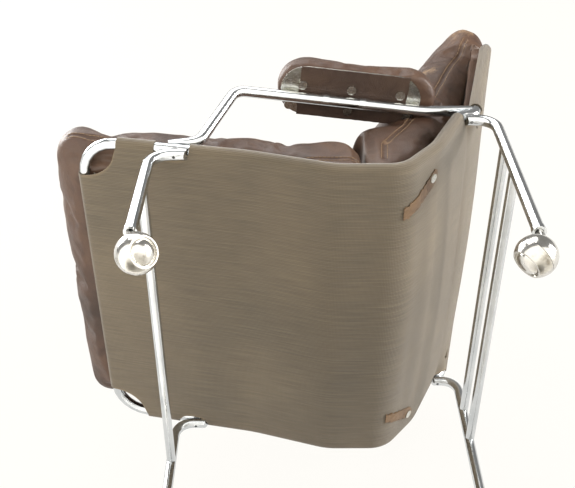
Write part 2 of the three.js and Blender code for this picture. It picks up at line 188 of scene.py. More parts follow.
def put(tree, kind, inputs=None, **settings):
    """A node with its settings, and each input set to a value or linked to a socket."""
    made = tree.nodes.new(kind)
    for key, value in settings.items():
        setattr(made, key, value)
    for key, value in (inputs or {}).items():
        if isinstance(value, bpy.types.NodeSocket):
            tree.links.new(value, made.inputs[key])
        else:
            made.inputs[key].default_value = value
    return made


def ramp(tree, factor, *stops):
    """A colour ramp over (position, hex colour) stops."""
    made = put(tree, "ShaderNodeValToRGB", {"Fac": factor})
    bar = made.color_ramp.elements
    while len(bar) < len(stops):
        bar.new(0.5)
    for element, (place, colour) in zip(bar, stops):
        element.position = place
        element.color = linear(colour)
    return made.outputs["Color"]


def start(name):
    """A new material with its tree, its shader and the object coordinates."""
    made = bpy.data.materials.new(name)
    made.use_nodes = True
    tree = made.node_tree
    shader = tree.nodes["Principled BSDF"]
    place = put(tree, "ShaderNodeTexCoord").outputs["Object"]
    return made, tree, shader, place


def grain(tree, place, scale, detail=3.0, roughness=0.5, distortion=0.0):
    """Noise over the object, scale in features per metre."""
    return put(tree, "ShaderNodeTexNoise", {
        "Vector": place, "Scale": scale, "Detail": detail, "Roughness": roughness, "Distortion": distortion,
    }).outputs["Fac"]


def bump(tree, height, depth, strength=1.0, normal=None):
    """A bump of a real depth in metres."""
    inputs = {"Height": height, "Distance": depth, "Strength": strength}
    if normal:
        inputs["Normal"] = normal
    return put(tree, "ShaderNodeBump", inputs).outputs["Normal"]


def chrome_plate():
    """Chrome plate on steel tube, polished, dulled by handling and fine pitting."""
    made, tree, shader, place = start("chrome_plate")
    film = grain(tree, place, 14, 5, 0.6)
    pits = put(tree, "ShaderNodeTexVoronoi", {"Vector": place, "Scale": 260.0},
               feature="F1").outputs["Distance"]
    spots = put(tree, "ShaderNodeMath", {0: pits, 1: 0.11}, operation="LESS_THAN").outputs[0]
    worn = put(tree, "ShaderNodeMath", {0: film, 1: 0.56}, operation="GREATER_THAN").outputs[0]
    rust = put(tree, "ShaderNodeMath", {0: spots, 1: worn}, operation="MULTIPLY").outputs[0]
    tone = ramp(tree, film, (0.3, "#C3C6C8"), (0.7, "#DCDEDF"))
    colour = put(tree, "ShaderNodeMix", {0: rust, 6: tone, 7: linear("#6B5846")}, data_type="RGBA").outputs[2]
    tree.links.new(colour, shader.inputs["Base Color"])
    shader.inputs["Metallic"].default_value = 1.0
    rough = put(tree, "ShaderNodeMapRange", {"Value": film, "To Min": 0.09, "To Max": 0.24}).outputs[0]
    tree.links.new(rough, shader.inputs["Roughness"])
    tree.links.new(bump(tree, grain(tree, place, 90, 2), 0.00012), shader.inputs["Normal"])
    return made


def plated_shell():
    """Bright chrome plate of the ball casters, with a little grime."""
    made, tree, shader, place = start("plated_shell")
    grime = grain(tree, place, 60, 5, 0.6)
    tree.links.new(ramp(tree, grime, (0.3, "#A39D92"), (0.42, "#D2CFC8"), (0.7, "#E0DEDA")),
                   shader.inputs["Base Color"])
    shader.inputs["Metallic"].default_value = 1.0
    rough = put(tree, "ShaderNodeMapRange", {"Value": grime, "To Min": 0.28, "To Max": 0.08}).outputs[0]
    tree.links.new(rough, shader.inputs["Roughness"])
    tree.links.new(bump(tree, grain(tree, place, 120, 2), 0.00012), shader.inputs["Normal"])
    return made


def plain_steel(name, colour, roughness):
    """Small plated steel parts with a light film of handling."""
    made, tree, shader, place = start(name)
    film = grain(tree, place, 160, 4)
    tree.links.new(ramp(tree, film, (0.3, colour), (0.75, "#D6D6D3")), shader.inputs["Base Color"])
    shader.inputs["Metallic"].default_value = 1.0
    shader.inputs["Roughness"].default_value = roughness
    tree.links.new(bump(tree, film, 0.0001), shader.inputs["Normal"])
    return made


def fibre_washer():
    """Grey pressed fibre, matt and slightly mottled."""
    made, tree, shader, place = start("pressed_fibre")
    tree.links.new(ramp(tree, grain(tree, place, 400, 4), (0.3, "#6A6B6B"), (0.7, "#8A8B8A")),
                   shader.inputs["Base Color"])
    shader.inputs["Roughness"].default_value = 0.7
    return made


def ribbed_canvas():
    """Woven cotton canvas, olive brown. Ribs 2.6 mm apart, coarser than the thread so that they show."""
    made, tree, shader, place = start("ribbed_canvas")
    uv = put(tree, "ShaderNodeUVMap", uv_map="UVMap").outputs["UV"]
    axes = put(tree, "ShaderNodeSeparateXYZ", {"Vector": uv})
    wobble = grain(tree, place, 30, 3)
    drift = put(tree, "ShaderNodeMath", {0: wobble, 1: 0.35}, operation="MULTIPLY").outputs[0]
    across = put(tree, "ShaderNodeMath", {0: axes.outputs["X"], 1: 1 / 2.6}, operation="MULTIPLY").outputs[0]
    turned = put(tree, "ShaderNodeMath", {0: across, 1: drift}, operation="ADD").outputs[0]
    angle = put(tree, "ShaderNodeMath", {0: turned, 1: 2 * math.pi}, operation="MULTIPLY").outputs[0]
    rib = put(tree, "ShaderNodeMath", {0: angle}, operation="SINE").outputs[0]
    along = put(tree, "ShaderNodeMath", {0: axes.outputs["Y"], 1: 2 * math.pi / 1.9},
                operation="MULTIPLY").outputs[0]
    pick = put(tree, "ShaderNodeMath", {0: along}, operation="SINE").outputs[0]
    weave = put(tree, "ShaderNodeMath", {0: pick, 1: 0.35, 2: rib}, operation="MULTIPLY_ADD").outputs[0]
    slub = grain(tree, put(tree, "ShaderNodeMapping", {"Vector": uv, "Scale": (0.35, 0.012, 1.0)}).outputs[0],
                 1.0, 4, 0.6)
    fade = grain(tree, place, 5.5, 4, 0.55)
    base = ramp(tree, fade, (0.3, "#4B4233"), (0.52, "#564B3A"), (0.72, "#635743"))
    thread = ramp(tree, slub, (0.32, "#42392C"), (0.5, "#564B3A"), (0.68, "#6A5E49"))
    mixed = put(tree, "ShaderNodeMix", {0: 0.35, 6: base, 7: thread}, data_type="RGBA").outputs[2]
    # Painted light and shade on the weave: the colour is darkened in its hollows and lightened on its ridges,
    # besides the bump
    depth = put(tree, "ShaderNodeMapRange", {"Value": weave, "From Min": -1.35, "From Max": 1.35,
                                             "To Min": 0.88, "To Max": 1.08}).outputs[0]
    shaded = put(tree, "ShaderNodeMix", {0: 1.0, 6: mixed, 7: depth}, data_type="RGBA",
                 blend_type="MULTIPLY").outputs[2]
    wear = put(tree, "ShaderNodeAttribute", attribute_name="wear").outputs["Fac"]
    colour = put(tree, "ShaderNodeMix", {0: wear, 6: shaded, 7: linear("#8F7A5C")},
                 data_type="RGBA").outputs[2]
    tree.links.new(colour, shader.inputs["Base Color"])
    shader.inputs["Roughness"].default_value = 0.82
    shader.inputs["Sheen Weight"].default_value = 0.25
    shader.inputs["Sheen Roughness"].default_value = 0.45
    tree.links.new(bump(tree, weave, 0.0004, 0.5, bump(tree, slub, 0.0004)), shader.inputs["Normal"])
    return made


def worn_leather(name="worn_leather", dark="#33241A", mid="#443024", light="#563F2D"):
    """Aniline-dyed hide, worn. Pebbled grain 1.4 mm, creases with painted shade in their hollows, edges
    rubbed through to tan.
    """
    made, tree, shader, place = start(name)
    pebble = put(tree, "ShaderNodeTexVoronoi", {"Vector": place, "Scale": 620.0},
                 feature="F1").outputs["Distance"]
    crease = grain(tree, place, 24, 6, 0.62, 0.7)
    cloud = grain(tree, place, 6.5, 5, 0.6)
    tone = ramp(tree, cloud, (0.3, dark), (0.5, mid), (0.74, light))
    # Painted shade: the colour is darkened in the hollows of the creases that the bump below presses in
    creased = ramp(tree, crease, (0.36, "#B8ACA2"), (0.5, "#FFFFFF"))
    crease_shaded = put(tree, "ShaderNodeMix", {0: 0.55, 6: tone, 7: creased}, data_type="RGBA",
                blend_type="MULTIPLY").outputs[2]
    rubbed = put(tree, "ShaderNodeAttribute", attribute_name="wear").outputs["Fac"]
    patch = grain(tree, place, 85, 6, 0.85)
    both = put(tree, "ShaderNodeMath", {0: rubbed, 1: patch}, operation="MULTIPLY").outputs[0]
    edge = put(tree, "ShaderNodeMapRange", {"Value": both, "From Min": 0.3, "From Max": 0.62}).outputs[0]
    colour = put(tree, "ShaderNodeMix", {0: edge, 6: crease_shaded, 7: linear("#A58766")},
                 data_type="RGBA").outputs[2]
    tree.links.new(colour, shader.inputs["Base Color"])
    rough = put(tree, "ShaderNodeMapRange", {"Value": cloud, "To Min": 0.56, "To Max": 0.42}).outputs[0]
    tree.links.new(rough, shader.inputs["Roughness"])
    shader.inputs["Specular IOR Level"].default_value = 0.4
    fine = bump(tree, pebble, 0.0004, 0.55)
    tree.links.new(bump(tree, crease, 0.0022, 0.8, fine), shader.inputs["Normal"])
    return made


def waxed_thread():
    """Waxed tan thread of the seams, slightly shiny, twisted."""
    made, tree, shader, place = start("waxed_thread")
    tree.links.new(ramp(tree, grain(tree, place, 500, 3), (0.3, "#5C4733"), (0.7, "#8A7050")),
                   shader.inputs["Base Color"])
    shader.inputs["Roughness"].default_value = 0.55
    return made


MATERIALS = {}


def finishes():
    """Every finish once, by name."""
    if not MATERIALS:
        MATERIALS.update(
            chrome=chrome_plate(), shell=plated_shell(), canvas=ribbed_canvas(), leather=worn_leather(),
            # The flap is the same hide in darker colours: painted shade for the shadow under the arm tube
            flap=worn_leather("shaded_flap_leather", "#2A1E17", "#382920", "#463528"),
            strap=worn_leather("strap_leather", "#4E3B29", "#6E563D", "#8C7252"), thread=waxed_thread(),
            bolt=plain_steel("zinc_plated_bolt", "#3C3B38", 0.5), fibre=fibre_washer(),
            snap=plain_steel("nickel_plated_snap", "#BFBCAE", 0.26),
            plate=plain_steel("zinc_plated_plate", "#B4B1A4", 0.32),
        )
    return MATERIALS


# ---------------------------------------------------------------- settings

class ChairSizes(bpy.types.PropertyGroup):
    """Sizes that a user would change."""
    sag: bpy.props.FloatProperty(
        name="Sling sag", description="How far the canvas hangs between the rails at the middle",
        default=0.010, min=0.0, max=0.05, unit="LENGTH")
    cloth: bpy.props.FloatProperty(
        name="Canvas thickness", description="Thickness of the canvas", default=0.0014, unit="LENGTH")
    hem: bpy.props.FloatProperty(
        name="Hem depth", description="Width of the hem that is folded over the tubes and sewn back",
        default=0.034, unit="LENGTH")
    stitch: bpy.props.FloatProperty(
        name="Stitch pitch", description="Distance between stitches", default=0.0062, unit="LENGTH")
    puff: bpy.props.FloatProperty(
        name="Cushion pressure", description="Pressure of the filling in the cushions", default=4.0)


class ChairLooks(bpy.types.PropertyGroup):
    """Colours of the stage."""
    backdrop: bpy.props.FloatVectorProperty(
        name="Backdrop", description="Colour of the floor and the backdrop", subtype="COLOR",
        default=(0.965, 0.947, 0.905))


# ---------------------------------------------------------------- pieces

FINISH_OF_SLOT = {
    "chrome_tube": "chrome", "bolt_steel": "bolt", "grey_washer": "fibre",
    "pressed_steel": "plate", "caster_chrome": "shell",
}


class LOUNGE_OT_metalwork(bpy.types.Operator):
    """Frame tubes, legs, arms, rods, casters and fittings, smoothed and finished"""
    bl_idname = "lounge.metalwork"
    bl_label = "Metalwork"

    def execute(self, context):
        slots = {part["node"]: part["material_slot"] for part in frame["record"]["subparts"]}
        for body, members in BODIES.items():
            for name in members:
                if slots[name] in FINISH_OF_SLOT:
                    self.polish(name, body, slots[name])
        return {"FINISHED"}

    def polish(self, name, body, slot):
        """A merged and smoothed copy of the CAD solid."""
        piece = bpy.data.objects.new("metal_" + name, frame["nodes"][name].data.copy())
        bpy.context.scene.collection.objects.link(piece)
        work = bmesh.new()
        work.from_mesh(piece.data)
        bmesh.ops.remove_doubles(work, verts=work.verts, dist=2e-6)
        bmesh.ops.dissolve_limit(work, angle_limit=math.radians(0.5), verts=work.verts, edges=work.edges)
        work.to_mesh(piece.data)
        work.free()
        smooth(piece, 34)
        finish = "snap" if name.startswith(("strap_snap", "arm_plate")) else FINISH_OF_SLOT[slot]
        piece.data.materials.clear()
        piece.data.materials.append(finishes()[finish])
        settle(piece, body, slot, name)


def sling_reach(here):
    """Half width of the canvas panel at a point of the side line."""
    reach = HALF
    if here.x < -320 + CORNER:
        reach = HALF - math.sqrt(max(0.0, CORNER ** 2 - (here.x + 320) ** 2))
    for bolt, half, deep in ((FRONT_BOLT, 25, 13), (REAR_BOLT, 22, 13)):
        off = (here - bolt).length / half
        if off < 1:
            reach = min(reach, HALF - deep * math.sqrt(1 - off ** 2))
    return reach


def hang(x, share, sag):
    """How far the canvas hangs below the tubes at x, share of the way from front to top."""
    ease = math.sin(math.pi * share) ** 0.6 if 0 < share < 1 else 0.0
    return sag * ease * max(0.0, 1 - (x / HALF) ** 2) ** 1.5


class LOUNGE_OT_sling(bpy.types.Operator):
    """One canvas panel under the tubes, folded round them and hemmed on top"""
    bl_idname = "lounge.sling"
    bl_label = "Canvas sling"

    def execute(self, context):
        sizes = context.scene.chair_sizes
        piece = self.panel(sizes)
        thick = piece.modifiers.new("Cloth", "SOLIDIFY")
        thick.thickness = sizes.cloth
        thick.offset = 0.0
        bake_modifiers(piece)
        smooth(piece, 40)
        settle(piece, CHAIR, "olive_canvas", "canvas_sling")
        return {"FINISHED"}

    def rows(self):
        """Centre, direction, kind and mid-panel point of each row of the canvas, front hem to top hem."""
        line = even(bent(SIDE_LINE), ROW)
        self.length = ROW * (len(line) - 1) / 1000
        soft = self.softened(line)
        rows = []
        for i, here in enumerate(line):
            before, after = max(i - 1, 0), min(i + 1, len(line) - 1)
            along = (line[after] - line[before]).normalized()
            flow = (soft[after] - soft[before]).normalized()
            rows.append((here, along, "side", soft[i] + Vector((flow.y, -flow.x)) * WRAP))
        first, last = rows[0], rows[-1]
        for turn in range(1, 13):
            for at, end, kind, sign in ((0, first, "front", -1), (len(rows) + 1, last, "top", 1)):
                along = self.spin(end[1], sign * math.pi * turn / 12)
                rows.insert(at, (end[0], along, kind, end[0] + Vector((along.y, -along.x)) * WRAP))
        return rows

    @staticmethod
    def softened(line):
        """The side line with its step at the rear joint pulled straight, as cloth between the rails hangs."""
        middle = min(range(len(line)), key=lambda i: (line[i] - REAR_BOLT).length)
        soft = [point.copy() for point in line]
        for _ in range(420):
            for i in range(max(1, middle - 34), min(len(line) - 1, middle + 40)):
                soft[i] = (soft[i - 1] + soft[i] * 2 + soft[i + 1]) / 4
        return soft

    @staticmethod
    def spin(direction, angle):
        """A (y, z) direction turned by an angle."""
        c, s = math.cos(angle), math.sin(angle)
        return Vector((direction.x * c - direction.y * s, direction.x * s + direction.y * c))

    def panel(self, sizes):
        """The folded sheet, without thickness."""
        sag = sizes.sag * 1000
        hem = sizes.hem * 1000
        rows = self.rows()
        side_rows = [i for i, row in enumerate(rows) if row[2] == "side"]
        low, high = side_rows[0], side_rows[-1]
        across = 84
        fold = [math.radians(-90 + 180 * k / 10) for k in range(1, 11)]
        tuck = [k / 5 for k in range(1, 6)]
        verts, uv, wear, faces = [], [], [], []
        grid = {}
        travel = 0.0

        def place(key, spot, x, u, v, rub=0.0):
            grid[key] = len(verts)
            verts.append((x, spot.x, spot.y))
            uv.append((u, v))
            wear.append(rub)

        for r, (here, along, kind, free) in enumerate(rows):
            travel += ROW if kind == "side" else WRAP * math.pi / 12
            normal = Vector((-along.y, along.x))
            share = min(1.0, max(0.0, (r - low) / (high - low)))
            reach = {"front": HALF - CORNER, "top": TOP_REACH}.get(kind) or sling_reach(here)
            if kind == "side" and r > high - 8:
                reach = min(reach, TOP_REACH + (HALF - TOP_REACH) * math.sqrt(max(0.0, (high - r) / 8)))
            cut = kind == "side" and reach < HALF - 0.01
            for c in range(across + 1):
                x = reach * (2 * c / across - 1)
                ripple = 0.5 * noise.noise(Vector((x / 70, travel / 160, 3.1))) * math.sin(math.pi * share)
                held = max(0.0, 1 - (HALF - abs(x)) / 75) ** 2
                spot = (here - normal * WRAP) * held + free * (1 - held)
                place((r, c), spot - normal * (hang(x, share, sag) - ripple), x, x, travel,
                      0.3 if cut and c in (0, across) else 0.0)
            if kind != "side" or cut:
                continue
            for side in (-1, 1):
                base = side * 1000
                grid[(r, base)] = grid[(r, 0 if side < 0 else across)]
                for k, angle in enumerate(fold, 1):
                    place((r, base + side * k), here + normal * WRAP * math.sin(angle),
                          side * (HALF + WRAP * math.cos(angle)), side * (HALF + 3.27 * k), travel)
                for k, part in enumerate(tuck, 1):
                    x = HALF - hem * part
                    eased = part * part * (3 - 2 * part)
                    lift = WRAP - (2 * WRAP - 3.0) * eased
                    place((r, base + side * (10 + k)), here + normal * lift, side * x,
                          side * (HALF + 33 + hem * part), travel)
        for end, kept, ahead in ((0, rows[low], 1), (len(rows) - 1, rows[high], -1)):
            here = rows[end][0]
            inward = kept[1] * ahead
            up = Vector((-kept[1].y, kept[1].x))
            reach = HALF - CORNER if end == 0 else TOP_REACH
            for k, part in enumerate(tuck, 1):
                row = end - ahead * k
                eased = part * part * (3 - 2 * part)
                for c in range(across + 1):
                    x = reach * (2 * c / across - 1)
                    place((row, c), here + inward * hem * 0.8 * part + up * (WRAP - (2 * WRAP - 2.2) * eased),
                          x, x, (0 if end == 0 else travel) - ahead * hem * part)
        strips = (list(range(across + 1)), [-1000 - k for k in range(15, -1, -1)],
                  [1000 + k for k in range(16)])
        for r in range(-5, len(rows) + 4):
            for strip in strips:
                for a, b in zip(strip, strip[1:]):
                    ring = [grid.get(key) for key in ((r, a), (r, b), (r + 1, b), (r + 1, a))]
                    if None not in ring and len(set(ring)) == 4:
                        faces.append(ring)
        piece = mesh_object("canvas_sling_cloth", verts, faces, finishes()["canvas"], uv)
        layer = piece.data.attributes.new("wear", "FLOAT", "POINT")
        layer.data.foreach_set("value", wear)
        return piece


def stitch_tree(material):
    """A node group that lays short threads along the curves it is given."""
    tree = bpy.data.node_groups.new("stitches", "GeometryNodeTree")
    tree.interface.new_socket("Geometry", in_out="INPUT", socket_type="NodeSocketGeometry")
    pitch = tree.interface.new_socket("Pitch", in_out="INPUT", socket_type="NodeSocketFloat")
    radius = tree.interface.new_socket("Thread radius", in_out="INPUT", socket_type="NodeSocketFloat")
    tree.interface.new_socket("Geometry", in_out="OUTPUT", socket_type="NodeSocketGeometry")
    given = put(tree, "NodeGroupInput")
    points = put(tree, "GeometryNodeCurveToPoints",
                 {"Curve": given.outputs[0], "Length": given.outputs[1]}, mode="LENGTH")
    depth = put(tree, "ShaderNodeMath", {0: given.outputs[1], 1: 0.78}, operation="MULTIPLY")
    thread = put(tree, "GeometryNodeMeshCylinder", {
        "Vertices": 6, "Radius": given.outputs[2], "Depth": depth.outputs[0]})
    laid = put(tree, "GeometryNodeInstanceOnPoints", {
        "Points": points.outputs["Points"], "Instance": thread.outputs["Mesh"],
        "Rotation": points.outputs["Rotation"]})
    real = put(tree, "GeometryNodeRealizeInstances", {"Geometry": laid.outputs[0]})
    done = put(tree, "GeometryNodeSetMaterial", {"Geometry": real.outputs[0], "Material": material})
    put(tree, "NodeGroupOutput", {0: done.outputs[0]})
    return tree, pitch.identifier, radius.identifier


def sewn(name, paths, pitch, radius, material):
    """Stitches along millimetre paths as one plain mesh."""
    curve = bpy.data.curves.new(name + "_path", "CURVE")
    curve.dimensions = "3D"
    for path in paths:
        spline = curve.splines.new("POLY")
        spline.points.add(len(path) - 1)
        for point, spot in zip(spline.points, path):
            point.co = (spot[0] / 1000, spot[1] / 1000, spot[2] / 1000, 1.0)
    guide = bpy.data.objects.new(name + "_path", curve)
    bpy.context.scene.collection.objects.link(guide)
    tree, pitch_id, radius_id = stitch_tree(material)
    layer = guide.modifiers.new("Stitches", "NODES")
    layer.node_group = tree
    layer[pitch_id] = pitch
    layer[radius_id] = radius
    graph = bpy.context.evaluated_depsgraph_get()
    mesh = bpy.data.meshes.new_from_object(guide.evaluated_get(graph), depsgraph=graph)
    bpy.data.objects.remove(guide)
    made = bpy.data.objects.new(name, mesh)
    bpy.context.scene.collection.objects.link(made)
    return made


# Cushion outlines in (y, z, corner radius) before they are filled.
SEAT_OUTLINE = (
    (-394, 358, 34), (-60, 294, 0), (70, 254, 0), (120, 254, 20), (120, 368, 56), (-394, 474, 46),
)
BACK_OUTLINE = (
    (116, 254, 18), (110, 404, 40), (146, 442, 40), (234, 634, 80), (320, 820, 44), (350, 852, 28),
    (388, 812, 34), (384, 736, 20), (362, 716, 20), (258, 396, 60), (214, 308, 60), (162, 254, 49),
)
# Sewn seams on the sides of the cushions, in (y, z).
SEAT_SEAM = ((-350, 374), (-200, 341), (-60, 314), (10, 298), (112, 294))
BACK_SEAM = ((148, 300), (152, 345), (190, 404), (252, 520), (300, 650), (345, 760))


def loaf(name, outline, half, edge, pitch=9.0):
    """A closed block of the outline with rounded side edges, in millimetres."""
    ring = even(bent(outline, closed=True), pitch, closed=True)
    middle = sum(ring, Vector((0, 0))) / len(ring)
    stations = [(-half + edge * (1 - math.sin(math.pi / 2 * k / 5)),
                 edge * (1 - math.cos(math.pi / 2 * k / 5))) for k in range(5, -1, -1)]
    inner = int((2 * half - 2 * edge) / 12)
    left = stations
    level = [(-half + edge + (2 * half - 2 * edge) * i / inner, 0.0) for i in range(1, inner)]
    right = [(-x, inset) for x, inset in reversed(stations)]
    verts, faces = [], []
    normals = []
    for i, point in enumerate(ring):
        along = (ring[(i + 1) % len(ring)] - ring[i - 1]).normalized()
        side = Vector((-along.y, along.x))
        normals.append(side if (middle - point).dot(side) > 0 else -side)
    columns = left + level + right
    for x, inset in columns:
        for point, inwards in zip(ring, normals):
            spot = point + inwards * inset
            verts.append((x, spot.x, spot.y))
    count = len(ring)
    for c in range(len(columns) - 1):
        for i in range(count):
            j = (i + 1) % count
            faces.append((c * count + i, c * count + j, (c + 1) * count + j, (c + 1) * count + i))
    faces.append(tuple(range(count)))
    faces.append(tuple(range((len(columns) - 1) * count, len(columns) * count)))
    piece = mesh_object(name, verts, faces, None)
    outward(piece)
    return piece


def remeshed(piece, voxel):
    """The same shape in even quads."""
    layer = piece.modifiers.new("Even", "REMESH")
    layer.mode = "VOXEL"
    layer.voxel_size = voxel
    bake_modifiers(piece)


def swollen(piece, pressure, cap, frames=20):
    """Filled like a cushion: cloth under pressure, no point further than the cap."""
    rest = [v.co.copy() for v in piece.data.vertices]
    layer = piece.modifiers.new("Filling", "CLOTH")
    cloth = layer.settings
    cloth.quality = 5
    cloth.mass = 0.35
    cloth.tension_stiffness = 12
    cloth.compression_stiffness = 12
    cloth.shear_stiffness = 6
    cloth.bending_stiffness = 3
    cloth.use_pressure = True
    cloth.uniform_pressure_force = pressure
    cloth.effector_weights.gravity = 0
    layer.collision_settings.use_self_collision = False
    layer.point_cache.frame_start = 1
    layer.point_cache.frame_end = frames
    scene = bpy.context.scene
    for number in range(1, frames + 1):
        scene.frame_set(number)
        bpy.context.view_layer.update()
    bake_modifiers(piece)
    scene.frame_set(1)
    for vert, was in zip(piece.data.vertices, rest):
        move = vert.co - was
        if move.length > cap:
            vert.co = was + move.normalized() * cap


def creased(piece, seam, beyond, depth, width):
    """A sewn seam, in (y, z) millimetres, pressed into both sides of the piece."""
    line = [point / 1000 for point in even([Vector(point) for point in seam], 4.0)]
    normals = [v.normal.copy() for v in piece.data.vertices]
    for vert, normal in zip(piece.data.vertices, normals):
        if abs(vert.co.x) > beyond and abs(normal.x) > 0.25:
            off = min((point - vert.co.yz).length for point in line)
            if off < width * 3:
                vert.co -= normal * depth * math.exp(-(off / width) ** 2)


def seam_threads(name, target, seam, offset, pitch):
    """Stitches beside the seam on both sides of the piece."""
    tree = BVHTree.FromObject(target, bpy.context.evaluated_depsgraph_get())
    line = even([Vector(point) for point in seam], 4.0)
    paths = []
    for side in (-1, 1):
        for shift in (-offset, offset):
            run = []
            for i, point in enumerate(line):
                along = (line[min(i + 1, len(line) - 1)] - line[max(i - 1, 0)]).normalized()
                spot = point + Vector((-along.y, along.x)) * shift
                start = Vector((side * 0.36, spot.x / 1000, spot.y / 1000))
                hit, normal, _, _ = tree.ray_cast(start, Vector((-side, 0, 0)))
                if hit and side * hit.x > 0.2:
                    run.append(tuple((hit + normal * 0.0003) * 1000))
            if len(run) > 1:
                paths.append(run)
    return sewn(name, paths, pitch, 0.00055, finishes()["thread"])


def mark_wear(piece, amount):
    """How much the surface is rubbed at each point, from 0 to 1."""
    layer = piece.data.attributes.new("wear", "FLOAT", "POINT")
    layer.data.foreach_set("value", [amount(v.co * 1000) for v in piece.data.vertices])


def wrinkled(piece, scale, depth, seed):
    """Soft hollows and folds in the leather."""
    normals = [v.normal.copy() for v in piece.data.vertices]
    for vert, normal in zip(piece.data.vertices, normals):
        spot = vert.co * scale + Vector((seed, 0.0, 0.0))
        vert.co += normal * depth * (noise.fractal(spot, 0.9, 2.1, 3) - 0.15)


def cushion(name, node, outline, seam, half, cap, room, wear):
    """One leather cushion: filled, seamed, creased and stitched."""
    sizes = bpy.context.scene.chair_sizes
    piece = loaf(name, outline, half, 34)
    remeshed(piece, 0.006)
    if node == "seat_cushion":
        for vert in piece.data.vertices:
            vert.co = domed(vert.co, seat_line(vert.co.y * 1000) / 1000 + 0.013)
    swollen(piece, sizes.puff, cap)
    for vert in piece.data.vertices:
        vert.co = room(vert.co)
    piece.data.update()
    wrinkled(piece, 9.0, 0.003, 2.0 if node == "seat_cushion" else 7.0)
    wrinkled(piece, 34.0, 0.0010, 5.0)
    finer = piece.modifiers.new("Finer", "SUBSURF")
    finer.levels = finer.render_levels = 1
    bake_modifiers(piece)
    creased(piece, seam, 0.2, 0.0035, 0.0035)
    for vert in piece.data.vertices:
        vert.co = room(vert.co)
    eased = piece.modifiers.new("Eased", "SMOOTH")
    eased.factor = 0.5
    eased.iterations = 3
    bake_modifiers(piece)
    mark_wear(piece, wear)
    piece.data.materials.append(finishes()["leather"])
    smooth(piece, 180)
    settle(piece, CHAIR, "brown_leather", node)
    threads = seam_threads(name + "_stitches", piece, seam, 4.5, sizes.stitch)
    settle(threads, CHAIR, "brown_leather")
    return piece


def seat_line(y):
    """Height of the seat rails at y, in millimetres."""
    return 333 - 0.2 * (y + 320) if y < -60 else max(240.5, 281 - 0.3068 * (y + 60))


def domed(co, level):
    """The seat thins towards its sides and its front corners draw back, like a filled bag."""
    side = max(0.0, (abs(co.x) - 0.06) / 0.22)
    height = co.z - level
    if height > 0:
        thinner = 0.42 - 0.30 * min(1.0, max(0.0, (co.y + 0.30) / 0.25))
        co = Vector((co.x, co.y, level + height * (1 - thinner * min(1.0, side) ** 2.2)))
    draw = 0.020 * min(1.0, side) ** 3 * max(0.0, (-0.25 - co.y) / 0.14)
    return Vector((co.x, co.y + draw, co.z + 0.2 * -draw))


def above_sling(co, lift):
    """The point raised to clear the seat's side line by the lift, in metres."""
    return Vector((co.x, co.y, max(co.z, seat_line(co.y * 1000) / 1000 + lift)))


CUSHION_REACH = 0.2775  # how far out a cushion may go between the rails, in metres
RAIL_EDGE = 0.245  # further out than this a cushion lies over the canvas on the rail
RAIL_LIFT = 0.0125  # and is raised this much
ARM_END = -0.205  # the arm tube comes down to the rail here


def seat_room(co):
    """Holds the seat cushion in at the arm ends, the side rails and the back cushion."""
    limit = CUSHION_REACH if ARM_END < co.y else min(0.287, CUSHION_REACH + (ARM_END - co.y) * 0.2)
    held = Vector((max(-limit, min(limit, co.x)), max(-0.394, min(co.y, 0.1195)), co.z))
    return above_sling(held, RAIL_LIFT if abs(co.x) > RAIL_EDGE else 0.0)


def back_room(co):
    """Holds the back cushion in at the arm pads, the side rails and the seat cushion."""
    near_pad = 0.44 < co.z < 0.50 and co.y < 0.26
    limit = (0.262 if near_pad else CUSHION_REACH) if co.z < 0.70 else 0.283
    back = 0.384 if co.z > 0.735 else 0.29 + (co.z - 0.42) * 0.245 - 0.012 if co.z > 0.43 else 0.27
    front = 0.1205 if co.z < 0.40 else -1.0
    held = Vector((max(-limit, min(limit, co.x)), max(front, min(co.y, back)), co.z))
    return above_sling(held, RAIL_LIFT if abs(co.x) > RAIL_EDGE else 0.0)


class LOUNGE_OT_cushions(bpy.types.Operator):
    """Seat and back cushions in worn leather"""
    bl_idname = "lounge.cushions"
    bl_label = "Cushions"

    def execute(self, context):
        def spots(spot, *places):
            return max(max(0.0, 1 - (Vector((abs(spot.x), spot.y, spot.z)) - Vector(at)).length / size)
                       for at, size in places)

        def seat_wear(spot):
            return min(1.0, 0.12 + 0.85 * spots(spot, ((270, -385, 400), 75), ((270, 112, 292), 26)))

        def back_wear(spot):
            return min(1.0, 0.12 + 0.85 * spots(spot, ((262, 345, 800), 75), ((270, 255, 640), 55),
                                               ((277, 158, 352), 20)))

        cushion("seat_leather", "seat_cushion", SEAT_OUTLINE, SEAT_SEAM, 286, 0.022, seat_room, seat_wear)
        cushion("back_leather", "back_cushion", BACK_OUTLINE, BACK_SEAM, 284, 0.022, back_room, back_wear)
        return {"FINISHED"}


def arm_frame(side):
    """The arm tube's own frame on the sitter's left (1) or right (-1)."""
    shoulder, elbow = Vector((HALF + 33, -84, 440)), Vector((HALF, 225, 431.5))
    back = (elbow - shoulder).normalized()
    middle = shoulder + back * ((102 + 84) / back.y)
    out = (Vector((1, 0, 0)) - back * back.x).normalized()
    up = out.cross(back)
    turn = Matrix((out, back, up)).transposed().to_4x4()
    turn.translation = middle
    return Matrix.Diagonal((side, 1, 1, 1)) @ turn


def stadium_ring(front, rear, inner, outer, pitch):
    """The (x, y) outline of a plate with round ends."""
    radius = (inner + outer) / 2 * 0.98
    return even(bent(((-inner, front, radius), (outer, front, radius), (outer, rear, radius),
                      (-inner, rear, radius)), closed=True), pitch, closed=True)


